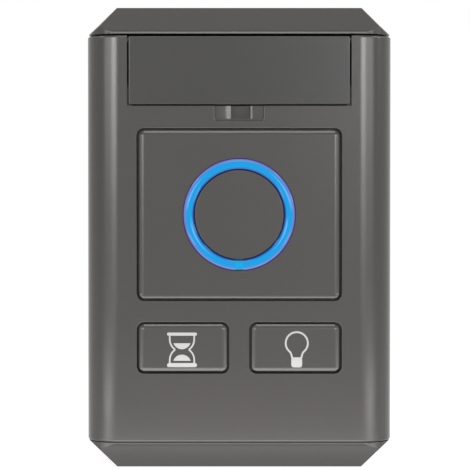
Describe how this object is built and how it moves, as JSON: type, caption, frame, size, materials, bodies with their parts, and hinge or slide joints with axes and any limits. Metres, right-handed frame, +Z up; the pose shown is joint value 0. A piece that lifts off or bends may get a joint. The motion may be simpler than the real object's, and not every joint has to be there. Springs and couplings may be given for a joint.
{
  "type": "wireless wall console",
  "caption": "Wall-mounted wireless control console with a large lit push button, smaller buttons below it, a hinged service flap and bevelled ends.",
  "frame": {"origin": "centre of the back face, in the wall plane", "axes": "+X to the right as seen from the front, +Y into the wall, +Z up; the front faces -Y"},
  "size_m": [0.09, 0.0275, 0.1368],
  "materials": {
    "housing_plastic": "satin moulded, dark grey",
    "light_guide": "clear moulded, lit blue",
    "board_laminate": "green solder mask",
    "switch_plastic": "black moulded",
    "plunger_plastic": "pale moulded",
    "lamp_resin": "cast resin",
    "chip_resin": "black moulded",
    "shield_steel": "tinned",
    "screw_steel": "zinc plated",
    "contact_steel": "nickel plated",
    "cell_can": "printed sleeve"
  },
  "bodies": {
    "housing": {"rear_housing": "housing_plastic", "front_cover": "housing_plastic", "circuit_board": "board_laminate", "main_switch": "switch_plastic", "delay_switch": "switch_plastic", "light_switch": "switch_plastic", "learn_switch": "switch_plastic", "lock_switch": "switch_plastic", "status_led": "lamp_resin", "ring_leds": "lamp_resin", "controller_chip": "chip_resin", "radio_module": "shield_steel", "loop_antenna": "contact_steel", "cover_screws": "screw_steel", "board_screws": "screw_steel", "upper_cell": "cell_can", "lower_cell": "cell_can", "positive_contact": "contact_steel", "negative_contact": "contact_steel", "bridge_contact": "contact_steel"},
    "flap": {"service_flap": "housing_plastic"},
    "main_button_group": {"main_button": "housing_plastic", "centre_disc": "housing_plastic", "ring_light_guide": "light_guide"},
    "main_plunger_body": {"main_plunger": "plunger_plastic"},
    "delay_button_body": {"delay_button": "housing_plastic"},
    "delay_plunger_body": {"delay_plunger": "plunger_plastic"},
    "light_button_body": {"light_button": "housing_plastic"},
    "light_plunger_body": {"light_plunger": "plunger_plastic"},
    "learn_button_group": {"learn_button": "plunger_plastic", "learn_plunger": "plunger_plastic"},
    "lock_knob_body": {"lock_knob": "plunger_plastic"},
    "battery_door_body": {"battery_door": "housing_plastic"}
  },
  "joints": [
    {"name": "flap_swing", "type": "hinge", "parent": "housing", "child": "flap", "pos_m": [0, -0.0255, 0.0584], "axis": [-1, 0, 0], "range_deg": [0, 100]},
    {"name": "main_press", "type": "slide", "parent": "housing", "child": "main_button_group", "axis": [0, 1, 0], "range_m": [0, 0.0005], "stiffness_N_per_m": 1500, "springref_m": -0.0003},
    {"name": "main_plunger_press", "type": "slide", "parent": "housing", "child": "main_plunger_body", "axis": [0, 1, 0], "range_m": [0, 0.0005]},
    {"name": "delay_press", "type": "slide", "parent": "housing", "child": "delay_button_body", "axis": [0, 1, 0], "range_m": [0, 0.0005], "stiffness_N_per_m": 1500, "springref_m": -0.0003},
    {"name": "delay_plunger_press", "type": "slide", "parent": "housing", "child": "delay_plunger_body", "axis": [0, 1, 0], "range_m": [0, 0.0005]},
    {"name": "light_press", "type": "slide", "parent": "housing", "child": "light_button_body", "axis": [0, 1, 0], "range_m": [0, 0.0005], "stiffness_N_per_m": 1500, "springref_m": -0.0003},
    {"name": "light_plunger_press", "type": "slide", "parent": "housing", "child": "light_plunger_body", "axis": [0, 1, 0], "range_m": [0, 0.0005]},
    {"name": "learn_press", "type": "slide", "parent": "housing", "child": "learn_button_group", "axis": [0, 1, 0], "range_m": [0, 0.0005], "stiffness_N_per_m": 1500, "springref_m": -0.0003},
    {"name": "lock_slide", "type": "slide", "parent": "housing", "child": "lock_knob_body", "axis": [1, 0, 0], "range_m": [0, 0.004]},
    {"name": "battery_door_tilt", "type": "hinge", "parent": "housing", "child": "battery_door_body", "pos_m": [0, 0, 0.0028], "axis": [-1, 0, 0], "range_deg": [0, 35]}
  ],
  "couplings": [
    {"joint": "main_plunger_press", "follows": "main_press", "ratio": 1},
    {"joint": "delay_plunger_press", "follows": "delay_press", "ratio": 1},
    {"joint": "light_plunger_press", "follows": "light_press", "ratio": 1}
  ]
}
